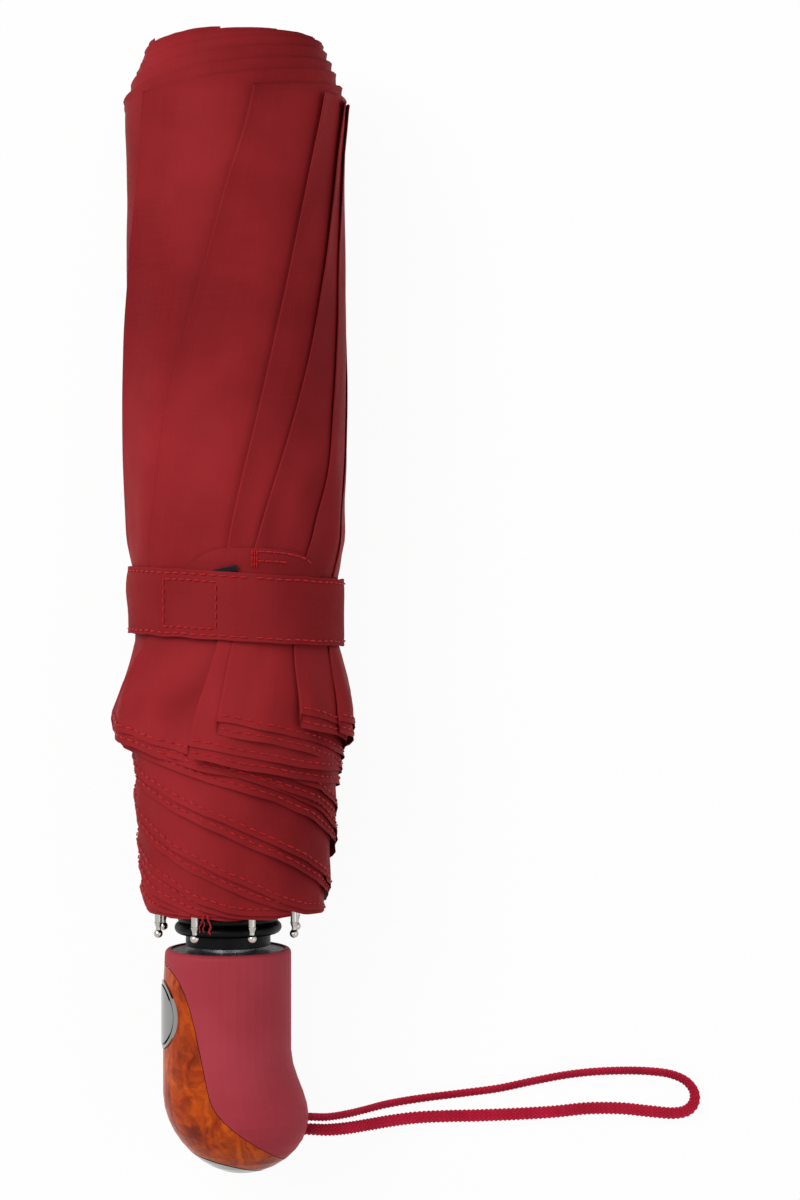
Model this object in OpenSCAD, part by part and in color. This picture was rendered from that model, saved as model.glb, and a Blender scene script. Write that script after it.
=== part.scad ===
// Folding pocket umbrella, closed, rolled and strapped, lying on its side.
// Every module below is drawn upright first: the shaft is on the z axis, the heel of the
// handle is at z = 0, the crown is at the top and -y is the side that faces up when it lies.
// lay() then puts the umbrella down, with its crown towards +Y.

/* [Handle] */
// Height of the handle from heel to rim
grip_h = 58.5; // [55:0.5:66]
// Radius of the handle's neck
neck_r = 16.4; // [15.8:0.1:18]
// How far the heel swells past the neck
heel_bulge = 4.6; // [2:0.1:6]
// Height at which the heel is widest
heel_z = 14.2; // [13:0.1:17]
// Wall of the moulded handle
grip_wall = 1.6; // [1.4:0.1:2]
// Width of the joint line between handle and inlay
seam_gap = 0.15; // [0.1:0.05:0.3]
// Turn of the handle about the shaft, which brings the button's side up
handle_turn = 12; // [0:1:20]
// Depth of the black collar below the rim
collar_drop = 0.4; // [0.2:0.1:1]
// Thickness of the black collar
collar_t = 2.2; // [1.5:0.1:3]

/* [Push button] */
// Distance of the button's centre below the handle's rim
button_drop = 16.6; // [15.5:0.1:18]
// Radius of the button
button_r = 7.6; // [7.4:0.1:8.2]
// Width of the chrome ring round the button
bezel_w = 0.8; // [0.6:0.1:1.2]
// Travel of the button
button_travel = 1.8; // [1:0.1:1.8]
// How far the button stands proud of the handle
button_proud = 0.5; // [0.2:0.1:0.8]

/* [Shaft] */
// Outer radius of the lowest and widest tube
tube_r = 7; // [6.8:0.1:7.2]
// Wall of every tube
tube_wall = 0.5; // [0.4:0.05:0.6]
// Gap between one tube and the next
tube_gap = 0.4; // [0.35:0.05:0.5]
// Length between the top of the lowest tube and the crown
crown_gap = 8; // [6:0.5:12]
// Running clearance of the guide bushes
bush_gap = 0.08; // [0.05:0.01:0.1]

/* [Ribs] */
// Radius at which the inner ribs lie
inner_rib_r = 9.8; // [9.7:0.1:10]
// Width of the ribs' steel channel
channel_w = 3; // [2.8:0.1:3.2]
// Depth of the ribs' steel channel
channel_d = 2.4; // [2.2:0.1:2.4]
// Sheet thickness of the channels
channel_t = 0.45; // [0.4:0.05:0.5]
// Radius of the outer rib's wire
wire_r = 0.9; // [0.7:0.05:1]
// Radius of the ball on each rib tip
ball_r = 1.15; // [1:0.05:1.4]

/* [Canopy] */
// Height of the fabric's lower edge
hem_z = 68.5; // [67:0.5:70]
// Length of the rolled fabric
roll_len = 229.5; // [226:0.5:236]
// Largest radius of the rolled fabric
roll_r = 28.8; // [28:0.1:30]
// Radius of the space inside the rolled fabric
roll_bore_r = 20.3; // [20.2:0.1:20.6]
// How far the middle of the roll lies to the side of the shaft
roll_side = 2.2; // [1:0.1:2.4]
// How far the roll is pressed flat where it lies
roll_press = 2.2; // [1.6:0.1:2.4]

/* [Tie strap] */
// Height of the middle of the strap
strap_z = 146.5; // [142:0.5:150]
// Width of the strap
strap_w = 17; // [14:0.5:20]
// Thickness of the strap
strap_t = 0.8; // [0.6:0.1:1]

/* [Wrist cord] */
// Width of the flat braided cord
cord_w = 3.6; // [3:0.1:3.6]

/* [Hidden] */
$fn = 48;
rib_n = 8;
eps = 0.01;
slack = 0.1;         // gap between pieces that are fixed to each other
move_gap = 0.4;      // gap between pieces that move past each other
steel = "silver";
plastic = [0.06, 0.06, 0.07];
cloth = [0.5, 0.1, 0.12];
soft_touch = [0.6, 0.16, 0.2];
cord_red = [0.5, 0.05, 0.12];
burl = [0.75, 0.3, 0.06];

roll_top_z = hem_z + roll_len;
axis_h = roll_r - roll_press;    // distance of the axis from the surface that the roll lies on
crown_z = roll_top_z - 28;       // underside of the crown
tube_top_z = crown_z - crown_gap;
button_z = grip_h - button_drop;
tube_r_in = tube_r - tube_wall;
mid_r = tube_r_in - tube_gap;
mid_r_in = mid_r - tube_wall;
top_r = mid_r_in - tube_gap;
top_r_in = top_r - tube_wall;
tube_foot_z = 20;
tube_step = 4;       // each tube stands this much higher than the one round it
bush_h = 8;

collar_z = grip_h - collar_drop;
core_r = neck_r - grip_wall - 0.4;
core_z0 = 25;
core_z1 = collar_z - collar_t;

// ---------- handle form ----------
heel_x = 3.1;        // the lowest point of the heel lies this far in front of the axis
back_swell = 0.5;    // the back of the handle stands this far outside the neck
back_round = 21;     // height of the round at the back of the heel
side_round = 17;     // height of the round at the sides of the heel
bulge_rise = 18;     // height over which the heel's swelling dies out above its widest place
rim_round = 1.2;     // radius of the round at the rim
form_sides = 44;

// Share of the full width at a height z, for an end that is rounded over the height b.
function end_share(z, b, p) = z >= b ? 1 : pow(max(0, 1 - pow((b - z) / b, p)), 1 / p);
// Swelling of the heel, full up to heel_z.
function swell(z) = z > heel_z + bulge_rise ? 0 : pow(cos(90 * max(0, z - heel_z) / bulge_rise), 2);
// Shrink of the top rings, which rounds the rim.
function rim_in(z) = z < grip_h - rim_round ? 0
    : rim_round - sqrt(max(0, rim_round * rim_round - pow(z - grip_h + rim_round, 2)));
function front_x(z) = heel_x + (neck_r + heel_bulge * swell(z) - heel_x) * end_share(z, heel_z, 2);
function back_x(z) = heel_x - (heel_x + neck_r + back_swell * (1 - smooth(z, grip_h - 12, grip_h)))
    * end_share(z, back_round, 1.8);
function half_depth(z) = neck_r * end_share(z, side_round, 2);
function smooth(z, a, b) = let(t = max(0, min(1, (z - a) / (b - a)))) t * t * (3 - 2 * t);

// One ring of the form at height z, drawn in by inset.
function form_ring(z, inset, rim) = let(
    f = front_x(z) - inset - rim,
    b = back_x(z) + inset + rim,
    d = half_depth(z) - inset - rim)
    [for (i = [0 : form_sides - 1]) let(a = 360 * i / form_sides)
        [(f + b) / 2 + (f - b) / 2 * cos(a), d * sin(a), z + inset]];

// Heights of the rings: close together in the round heel, wider in the neck.
heel_rings = [for (i = [1 : 10]) back_round * (1 - cos(9 * i))];
neck_rings = [for (i = [1 : 10]) back_round + (grip_h - rim_round - back_round) * i / 10];
rim_rings = [for (i = [1 : 3]) grip_h - rim_round + rim_round * sin(29 * i)];

// Closed solid through a list of rings with equal numbers of points.
module loft(rings) {
    n = len(rings[0]);
    last = len(rings) - 1;
    points = [for (r = rings) each r];
    sides = [for (k = [0 : last - 1]) for (i = [0 : n - 1]) let(
        a = k * n + i,
        b = k * n + (i + 1) % n)
        each [[a, a + n, b + n], [a, b + n, b]]];
    polyhedron(points, concat([[for (i = [0 : n - 1]) i], [for (i = [n - 1 : -1 : 0]) last * n + i]],
        sides), convexity = 6);
}

module grip_form() {
    loft(concat([for (z = concat(heel_rings, neck_rings)) form_ring(z, 0, 0)],
        [for (z = rim_rings) form_ring(z, 0, rim_in(z))]));
}

// The form drawn in by the wall, and left open at the rim.
module grip_hollow() {
    loft([for (z = concat(heel_rings, neck_rings, [grip_h + 2])) form_ring(z, grip_wall, 0)]);
}

// A cubic curve through two end points with two handles, in n steps.
function bezier(a, b, c, d, n) = [for (i = [0 : n]) let(t = i / n, s = 1 - t)
    s * s * s * a + 3 * s * s * t * b + 3 * s * t * t * c + t * t * t * d];

inlay_top = grip_h - 3.9;

// Side view of the inlay: everything behind an S-shaped line that sweeps under the heel.
inlay_line = concat(
    bezier([-neck_r - 1.2, inlay_top + 1], [-11.8, inlay_top - 2.4], [-10.6, 40], [-7.1, 23], 8),
    bezier([-7.1, 23], [-6, 16.6], [2, 11.4], [14.4, 3.8], 8),
    [[19, 2]]);

module inlay_area(grow) {
    rotate([90, 0, 0])
        linear_extrude(height = 4 * neck_r, center = true)
            offset(delta = grow)
                polygon(concat(inlay_line, [[19, -6], [-neck_r - 8, -6], [-neck_r - 8, inlay_top + 1]]));
}

module at_button() {
    translate([0, 0, button_z])
        rotate([0, -90, 0])
            children();
}

medal_z = 3.6;       // height of the joint of the chrome cap under the heel
medal_tilt = 15;     // tilt of the cap towards the back

// Everything of the handle below the joint, which is lowered by gap.
module under_joint(gap) {
    translate([0, 0, medal_z])
        rotate([0, medal_tilt, 0])
            translate([-2 * neck_r, -2 * neck_r, -20 - gap])
                cube([4 * neck_r, 4 * neck_r, 20]);
}

cord_z = 12;         // height at which the wrist cord leaves the heel
cord_step = 1.9;     // its two strands lie this far above and below the middle

module cord_slot() {
    hole_r = cord_w / 2 + 0.25;
    translate([neck_r - 4, 0, cord_z])
        rotate([0, 90, 0])
            linear_extrude(height = 20) {
                square([2 * cord_step, 2 * hole_r], center = true);
                for (s = [-1, 1])
                    translate([s * cord_step, 0]) circle(r = hole_r);
            }
}

module button_hole() {
    at_button() cylinder(r = button_r + bezel_w + move_gap + slack, h = 3 * neck_r);
}

module grip_shell() {
    color(soft_touch)
        difference() {
            grip_form();
            grip_hollow();
            inlay_area(seam_gap / 2);
            button_hole();
            cord_slot();
            under_joint(0);
        }
}

module grip_inlay() {
    color(burl)
        difference() {
            intersection() {
                grip_form();
                inlay_area(-seam_gap / 2);
            }
            grip_hollow();
            button_hole();
            under_joint(0);
        }
}

module ring(r_out, r_in, h) {
    difference() {
        cylinder(r = r_out, h = h);
        translate([0, 0, -1]) cylinder(r = r_in, h = h + 2);
    }
}

bezel_back = 13.5;   // distance of the chrome ring's inner end from the axis

module button_bezel() {
    color(steel)
        at_button()
            intersection() {
                translate([0, 0, bezel_back])
                    ring(button_r + move_gap + bezel_w, button_r + move_gap, 6);
                // the ring's face follows the round of the handle
                rotate([0, 90, 0])
                    cylinder(r = neck_r + back_swell + 0.3, h = 2 * neck_r, center = true, $fn = 96);
            }
}

module end_medallion() {
    color(steel)
        intersection() {
            grip_form();
            under_joint(2 * seam_gap);
        }
}

// ---------- inside the handle ----------
lever_x = -11;       // outer face of the latch lever
lever_t = 1.4;
lever_w = 4.6;
push_z = button_z - 5.9;   // the button's stem meets the lever at this height
pivot_z = button_z + 2.1;
tooth_z = button_z + 8.1;  // height of the tooth that catches in the tubes
tooth_h = 2;
lever_z0 = push_z - 2;
lever_z1 = tooth_z + 3;
pivot_r = 0.4;
button_back = 13.2;  // distance of the button's inner face from the axis
spring_r = 1.7;      // the two springs under the button
spring_y = 5;
spring_z = button_z - 2.4;
spring_seat = 8.4;

module collar() {
    color(plastic)
        translate([0, 0, collar_z - collar_t])
            difference() {
                cylinder(r = neck_r - grip_wall - 0.25, h = collar_t);
                translate([0, 0, -1]) cylinder(r = tube_r + slack, h = collar_t + 2);
            }
}

module at_pivot() {
    translate([lever_x + lever_t / 2, 0, pivot_z])
        rotate([90, 0, 0])
            children();
}

module core_block() {
    color(plastic)
        difference() {
            translate([0, 0, core_z0]) cylinder(r = core_r, h = core_z1 - core_z0 - slack);
            translate([0, 0, core_z0 - 1]) cylinder(r = tube_r + slack, h = 60);
            // room for the button
            at_button()
                translate([0, 0, button_back - button_travel - 0.3])
                    cylinder(r = button_r + move_gap + bezel_w + slack, h = 20);
            // room for the lever and its swing
            translate([lever_x - 2.4, -lever_w / 2 - move_gap, lever_z0 - 2])
                cube([3.4 - lever_x - tube_r, lever_w + 2 * move_gap, lever_z1 - lever_z0 + 3]);
            at_pivot() cylinder(r = pivot_r + 0.05, h = lever_w + 8, center = true, $fn = 24);
            for (s = [-1, 1])
                translate([-spring_seat, s * spring_y, spring_z])
                    rotate([0, -90, 0])
                        cylinder(r = spring_r + 0.5, h = 10, $fn = 24);
        }
}

module latch_lever() {
    color(steel)
        difference() {
            union() {
                translate([lever_x, -lever_w / 2, lever_z0]) cube([lever_t, lever_w, lever_z1 - lever_z0]);
                // tooth that catches in the tube's window
                translate([lever_x + lever_t - eps, -1.2, tooth_z])
                    cube([-tube_r_in - 0.2 - lever_x - lever_t, 2.4, tooth_h]);
            }
            at_pivot() cylinder(r = pivot_r + 0.05, h = 20, center = true, $fn = 24);
        }
}

module lever_pin() {
    color(steel)
        at_pivot() cylinder(r = pivot_r, h = lever_w + 6, center = true, $fn = 24);
}

module push_button() {
    face_x = neck_r + back_swell + button_proud;
    color(steel) {
        difference() {
            intersection() {
                at_button() translate([0, 0, button_back]) cylinder(r = button_r, h = 8);
                translate([0, 0, button_z - button_r - 1])
                    cylinder(r = face_x, h = 2 * button_r + 2, $fn = 96);
            }
            // relief that the lever's upper end swings into
            translate([-button_back - 2.2, -lever_w / 2 - 0.7, pivot_z - 1])
                cube([10, lever_w + 1.4, 10]);
        }
        // stem that pushes the lever
        translate([-button_back - eps, 0, push_z])
            rotate([0, 90, 0])
                cylinder(r = 1.4, h = button_back + lever_x - 0.25, $fn = 24);
    }
}

// Round wire along a helix about the z axis, with square-cut ends.
module coil(r, wire, length, turns, steps, sides) {
    n = round(turns * steps);
    loft([for (i = [0 : n]) let(a = 360 * i / steps, z = length * i / n)
        [for (k = [0 : sides - 1]) let(b = -360 * k / sides)
            [(r + wire * cos(b)) * cos(a), (r + wire * cos(b)) * sin(a), z + wire * sin(b)]]]);
}

module button_springs() {
    color(steel)
        for (s = [-1, 1])
            translate([-spring_seat - 0.4, s * spring_y, spring_z])
                rotate([0, -90, 0])
                    coil(spring_r, 0.25, button_back - spring_seat - 0.8, 4, 10, 6);
}

// ---------- telescopic shaft ----------
module tube(r, z0, z1) {
    difference() {
        translate([0, 0, z0]) cylinder(r = r, h = z1 - z0);
        translate([0, 0, z0 - 1]) cylinder(r = r - tube_wall, h = z1 - z0 + 2);
        // window that the latch catches in
        translate([-r - 1, -1.6, tooth_z - 0.4]) cube([tube_wall + 1.5, 3.2, tooth_h + 0.8]);
    }
}

module at_tube_pin() {
    translate([0, 0, tube_foot_z + 1.5])
        rotate([90, 0, 0])
            children();
}

module lower_tube() {
    color(steel)
        difference() {
            tube(tube_r, tube_foot_z, tube_top_z);
            at_tube_pin() cylinder(r = 1.05, h = 40, center = true, $fn = 24);
        }
}

module middle_tube() {
    color(steel) tube(mid_r, tube_foot_z + tube_step, tube_top_z + tube_step);
}

module upper_tube() {
    color(steel) tube(top_r, tube_foot_z + 2 * tube_step, crown_z + 8);
}

// Guide bush in the mouth of a tube of inner radius r.
module mouth_bush(r, gap, top) {
    color(plastic)
        translate([0, 0, top - bush_h])
            difference() {
                union() {
                    cylinder(r = r - 0.02, h = bush_h);
                    translate([0, 0, bush_h]) cylinder(r = r + tube_wall, h = 1.2);
                }
                translate([0, 0, -1]) cylinder(r = r - gap + bush_gap, h = bush_h + 4);
            }
}

// Guide bush round the foot of a tube of outer radius r.
module foot_bush(r, gap, foot) {
    color(plastic)
        translate([0, 0, foot])
            ring(r + gap - bush_gap, r + 0.02, bush_h);
}

module lower_mouth_bush() { mouth_bush(tube_r_in, tube_gap, tube_top_z); }
module middle_foot_bush() { foot_bush(mid_r, tube_gap, tube_foot_z + tube_step); }
module middle_mouth_bush() { mouth_bush(mid_r_in, tube_gap, tube_top_z + tube_step); }
module upper_foot_bush() { foot_bush(top_r, tube_gap, tube_foot_z + 2 * tube_step); }

module tube_pin() {
    color(steel)
        at_tube_pin() cylinder(r = 1, h = 2 * tube_r + 1, center = true, $fn = 24);
}

// Plug that closes the foot of the shaft and carries the spring.
module tube_plug() {
    color(plastic)
        difference() {
            union() {
                translate([0, 0, tube_foot_z - 5]) cylinder(r = tube_r + 1, h = 5 - slack);
                translate([0, 0, tube_foot_z - slack]) cylinder(r = tube_r_in - slack, h = 3);
            }
            at_tube_pin() cylinder(r = 1.05, h = 40, center = true, $fn = 24);
        }
}

drive_turns = 36;

module drive_spring() {
    color(steel)
        translate([0, 0, tube_foot_z + 4])
            coil(3.4, 0.6, crown_z - tube_foot_z - 8, drive_turns, 10, 4);
}

// ---------- frame ----------
crown_r = 11.2;
crown_h = 13;
pin_r = 0.5;         // wire that the ribs hinge on
slot_w = 2;
tongue_t = 1.4;
rib_z0 = 104;        // lower end of the inner ribs
runner_z = grip_h + 0.9;     // underside of the runner
runner_r_in = tube_r + move_gap;
hub_z = runner_z + 20.6;     // underside of the runner's slotted hub
hub_h = 9;
stretcher_top_z = 172;
lug_r = inner_rib_r + 1.9;   // rivet at the foot of the inner ribs
lug_girth = 1;
middle_rib_t = 1.6;
eye_girth = 1.3;
rib_gap = 0.2;               // gap between the folded ribs of one set
middle_rib_r = lug_r + lug_girth + rib_gap + middle_rib_t / 2;
outer_rib_r = middle_rib_r + middle_rib_t / 2 + 3 * rib_gap + eye_girth;
tip_r = 18.9;
rib_top_z = crown_z + 2;
eye_z = rib_top_z - 4;
tip_z = 63.2;

module each_rib() {
    for (i = [0 : rib_n - 1])
        at_rib(i) children();
}

module at_rib(i) {
    rotate([0, 0, (i + 0.5) * 360 / rib_n])
        children();
}

// U-shaped steel strip, upright, with its open side towards the axis.
module channel(r, z0, z1) {
    translate([r - channel_d / 2, 0, z0])
        linear_extrude(height = z1 - z0)
            difference() {
                translate([0, -channel_w / 2]) square([channel_d, channel_w]);
                translate([-1, -channel_w / 2 + channel_t])
                    square([channel_d - channel_t + 1, channel_w - 2 * channel_t]);
            }
}

// Flat tongue with an eye for the hinge wire, at radius r and height z.
module eye_tongue(r, z, drop) {
    difference() {
        union() {
            translate([r, 0, z])
                rotate([90, 0, 0])
                    cylinder(r = 1.3, h = tongue_t, center = true, $fn = 24);
            translate([r - 1.1, -tongue_t / 2, z - drop]) cube([2.2, tongue_t, drop]);
        }
        translate([r, 0, z])
            rotate([90, 0, 0])
                cylinder(r = pin_r + 0.1, h = 5, center = true, $fn = 24);
    }
}

crown_pin_z = crown_z + 4.5;
hinge_r = 9.4;
lug_z = rib_z0 - 1.5;
rivet_r = 0.45;
clevis_w = 4.8;
stretcher_pin_z = stretcher_top_z - 2;

// Rivet across a rib at radius r and height z; with a larger girth, its hole.
module rivet(r, z, girth) {
    translate([r, 0, z])
        rotate([90, 0, 0])
            cylinder(r = girth, h = clevis_w + 2 * eps, center = true, $fn = 16);
}

module inner_rib(i) {
    color(plastic)
        at_rib(i) {
            difference() {
                channel(inner_rib_r, rib_z0, crown_z - 1);
                rivet(hinge_r, stretcher_pin_z, rivet_r + 0.05);
            }
            eye_tongue(hinge_r, crown_pin_z, 10);
            // the tongue is welded to the channel's back
            translate([hinge_r, -tongue_t / 2, crown_pin_z - 10])
                cube([inner_rib_r + channel_d / 2 - hinge_r - channel_t / 2, tongue_t, 4]);
            // lug outside the channel for the lower knuckle
            difference() {
                union() {
                    translate([lug_r, 0, lug_z])
                        rotate([90, 0, 0])
                            cylinder(r = lug_girth, h = tongue_t, center = true, $fn = 24);
                    translate([lug_r - 1.1, -tongue_t / 2, lug_z]) cube([1.8, tongue_t, 5.5]);
                }
                rivet(lug_r, lug_z, rivet_r + 0.05);
            }
        }
}

module middle_ribs() {
    color(plastic)
        each_rib()
            difference() {
                translate([middle_rib_r - middle_rib_t / 2, -1.2, rib_z0 - 4])
                    cube([middle_rib_t, 2.4, rib_top_z - rib_z0 + 2]);
                // holes for the rivets at both ends
                for (z = [lug_z, rib_top_z - 5])
                    rivet(middle_rib_r, z, rivet_r + 0.05);
            }
}

// The wire of the outer rib runs from its hinge at the top out to the tip.
module outer_rib(i) {
    lean = atan2(tip_r - outer_rib_r, eye_z - tip_z - 3);
    color(steel)
        at_rib(i)
            difference() {
                union() {
                    translate([tip_r, 0, tip_z + 3])
                        rotate([0, -lean, 0])
                            cylinder(r = wire_r, h = eye_z - tip_z - 3.8);
                    translate([outer_rib_r, 0, eye_z])
                        rotate([90, 0, 0])
                            cylinder(r = eye_girth, h = tongue_t, center = true, $fn = 24);
                }
                rivet(outer_rib_r, eye_z, rivet_r + 0.05);
            }
}

module rib_tips() {
    color(steel)
        each_rib()
            translate([tip_r, 0, tip_z]) {
                sphere(r = ball_r, $fn = 32);
                cylinder(r = ball_r * 0.55, h = 3);
                translate([0, 0, 1.6]) cylinder(r1 = ball_r * 0.55, r2 = wire_r + 0.15, h = 1.4 - slack);
            }
}

// Clevis that joins two ribs at a fold, from radius r0 to r1.
module knuckle(r0, r1, z, h) {
    difference() {
        translate([r0, -clevis_w / 2, z]) cube([r1 - r0, clevis_w, h]);
        translate([r0 - 1, -channel_w / 2 - slack, z - 1]) cube([r1 - r0 + 2, channel_w + 2 * slack, h + 2]);
    }
}

module lower_knuckles() {
    color(steel)
        each_rib() {
            knuckle(lug_r - 1.3, middle_rib_r + 1.1, rib_z0 - 3, 5);
            for (r = [lug_r, middle_rib_r])
                rivet(r, lug_z, rivet_r);
        }
}

module upper_knuckles() {
    color(steel)
        each_rib() {
            knuckle(middle_rib_r - 1, outer_rib_r + 1.1, rib_top_z - 7, 5);
            rivet(middle_rib_r, rib_top_z - 5, rivet_r);
            rivet(outer_rib_r, eye_z, rivet_r);
        }
}

module hinge_wire(z) {
    color(steel)
        translate([0, 0, z])
            rotate_extrude($fn = 96)
                translate([hinge_r, 0]) circle(r = pin_r, $fn = 24);
}

module crown_wire() { hinge_wire(crown_pin_z); }
module runner_wire() { hinge_wire(hub_z + 4); }

// Slots for the rib tongues and a groove for their wire, cut round a hub.
module hub_cuts(z0, z1, pin_z) {
    each_rib()
        translate([tube_r + 0.9, -slot_w / 2, z0]) cube([10, slot_w, z1 - z0]);
    translate([0, 0, pin_z])
        rotate_extrude($fn = 96)
            translate([hinge_r, 0]) circle(r = pin_r + 0.1, $fn = 24);
}

module crown() {
    color(plastic)
        difference() {
            translate([0, 0, crown_z]) cylinder(r = crown_r, h = crown_h);
            translate([0, 0, crown_z - 1]) cylinder(r = top_r + slack, h = 9);
            translate([0, 0, crown_z + crown_h - 3]) cylinder(r = 2.1, h = 4);
            hub_cuts(crown_z - 1, crown_pin_z + 2, crown_pin_z);
        }
}

module crown_cap() {
    color(plastic)
        translate([0, 0, crown_z + crown_h + slack]) {
            rotate_extrude()
                polygon([[0, 0], [8, 0], [8, 1.2], [7.4, 3], [6, 4.6], [3.6, 5.6], [0, 6]]);
            translate([0, 0, -3]) cylinder(r = 2, h = 3 + eps);
        }
}

module runner() {
    ring_r = 13.9;
    color(plastic)
        difference() {
            union() {
                translate([0, 0, runner_z]) cylinder(r = 11, h = hub_z - runner_z);
                translate([0, 0, hub_z]) cylinder(r = crown_r, h = hub_h);
                // stacked round flanges that close the mouth of the canopy
                for (k = [0 : 2])
                    translate([0, 0, runner_z + 4.6 + 2.7 * k])
                        rotate_extrude($fn = 96)
                            translate([ring_r - 1.5 - 0.7 * k, 0]) circle(r = 1.5, $fn = 32);
            }
            translate([0, 0, runner_z - 1]) cylinder(r = runner_r_in, h = 60);
            hub_cuts(hub_z + 1.5, hub_z + hub_h + 1, hub_z + 4);
        }
}

module stretchers() {
    color(steel)
        each_rib() {
            eye_tongue_up(hinge_r, hub_z + 4, 8);
            translate([hinge_r - 0.6, -tongue_t / 2, hub_z + 12 - eps])
                cube([1.2, tongue_t, stretcher_top_z - hub_z - 12]);
            // rivet that joins the stretcher to its rib
            rivet(hinge_r, stretcher_pin_z, rivet_r);
        }
}

module eye_tongue_up(r, z, rise) {
    translate([0, 0, 2 * z])
        mirror([0, 0, 1])
            eye_tongue(r, z, rise);
}

// ---------- canopy ----------
// Cuts away what would lie below the surface that the roll rests on.
module pressed_flat(h) {
    difference() {
        children();
        translate([-60, h, -20]) cube([120, 40, roll_top_z + 60]);
    }
}

shoulder_z = roll_top_z - 18;
skirt_z0 = 118;
skirt_z1 = strap_z - strap_w / 2 - 0.4;
strap_bed = roll_r - 2.1;
mouth_r = 23.2;      // radius of the roll at its lower edge

module canopy_roll() {
    color(cloth)
        pressed_flat(axis_h)
            difference() {
                rotate_extrude($fn = 96)
                    polygon([
                        [0, hem_z], [mouth_r, hem_z], [mouth_r + 1.4, hem_z + 7],
                        [roll_r - 2.4, (hem_z + skirt_z0) / 2 + 4], [roll_r - 1.8, skirt_z0],
                        [strap_bed, skirt_z1 - 1], [strap_bed, strap_z + strap_w / 2 + 1],
                        [roll_r - 0.8, strap_z + 28.5], [roll_r - 0.1, shoulder_z - 65],
                        [roll_r, shoulder_z - 18], [roll_r - 0.6, shoulder_z], [0, shoulder_z]]);
                translate([-roll_side, 0, hem_z - 1])
                    cylinder(r = roll_bore_r, h = shoulder_z - hem_z + 2, $fn = 96);
                // the strap presses the roll in at its underside
                translate([-60, axis_h - strap_t - slack, skirt_z1 - 1])
                    cube([120, 40, strap_w + 2.8]);
            }
}

module canopy_shoulder() {
    color(cloth)
        pressed_flat(axis_h)
            difference() {
                rotate_extrude($fn = 96)
                    polygon([
                        [0, shoulder_z + slack], [roll_r - 0.6, shoulder_z + slack],
                        [roll_r - 1.4, shoulder_z + 5], [roll_r - 3.2, shoulder_z + 11],
                        [roll_r - 6, shoulder_z + 16], [roll_r - 9.8, roll_top_z], [0, roll_top_z]]);
                // the crown's cap stands in this well
                translate([-roll_side, 0, shoulder_z - 1])
                    cylinder(r = crown_r + move_gap, h = 30);
                translate([-roll_side, 0, roll_top_z - 6])
                    cylinder(r1 = crown_r + move_gap, r2 = crown_r + 2.8, h = 6 + eps);
            }
}

module canopy_skirt() {
    color(cloth)
        pressed_flat(axis_h)
            rotate_extrude($fn = 96)
                polygon([
                    [strap_bed + 0.3, skirt_z1], [strap_bed + 1.2, skirt_z1],
                    [roll_r + 1.1, skirt_z0 + 1], [roll_r + 0.3, skirt_z0 + 1]]);
}

// ---------- tie strap ----------
strap_r = strap_bed + 0.6;
fold_a = 14;         // the strap's front part hinges at this angle past the right edge
tab_a = 86;          // the tab hinges at this angle
end_a = 176;         // the strap's free end
patch_a0 = 96;       // the patches lie between these angles
patch_a1 = 128;

// Part of a band round the roll, from angle a0 to a1, seen from the crown; 0 is to the right
// and 90 is the side that faces up.
module band(r, t, w, a0, a1) {
    translate([0, 0, strap_z - w / 2])
        difference() {
            cylinder(r = r + t, h = w, $fn = 96);
            translate([0, 0, -1]) cylinder(r = r, h = w + 2, $fn = 96);
            keep_out(a0, a1, w);
        }
}

// Everything outside the angles a0 to a1.
module keep_out(a0, a1, w) {
    steps = 12;
    span = 360 - (a1 - a0);
    translate([0, 0, -1])
        linear_extrude(height = w + 2)
            polygon(concat([[0, 0]], [for (i = [0 : steps]) let(a = -(a1 + span * i / steps))
                60 * [cos(a), sin(a)]]));
}

module strap_base() {
    gap_deg = 1.2;
    color(cloth)
        intersection() {
            union() {
                band(strap_r, strap_t, strap_w, end_a + gap_deg - 360, fold_a - gap_deg);
                // the band is pressed flat under the roll
                translate([-9, axis_h - strap_t, strap_z - strap_w / 2]) cube([18, strap_t, strap_w]);
            }
            translate([-60, -60, 0]) cube([120, 60 + axis_h, 300]);
        }
}

module strap_front() {
    color(cloth) band(strap_r, strap_t, strap_w, fold_a + 0.8, tab_a - 0.8);
}

module strap_tab() {
    color(cloth) band(strap_r, strap_t, strap_w, tab_a + 0.8, end_a);
}

// Hook and loop patches: the hooks under the tab, the loops on the roll below them.
patch_t = 0.22;

module loop_patch() {
    color(plastic) band(strap_bed + 0.05, patch_t, strap_w - 4, patch_a0, patch_a1);
}

module hook_patch() {
    color(plastic) band(strap_r - patch_t - 0.05, patch_t, strap_w - 6, patch_a0, patch_a1);
}

// ---------- wrist cord ----------
// The loop leaves the heel, drops to the surface, runs out, turns and comes back.
// Points are in the lying frame, from the heel's hole: out, along and up.
function heel_exit() = let(f = front_x(cord_z)) [
    f * cos(handle_turn) - roll_side,
    cord_z - roll_top_z / 2,
    axis_h - f * sin(handle_turn)];

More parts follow.
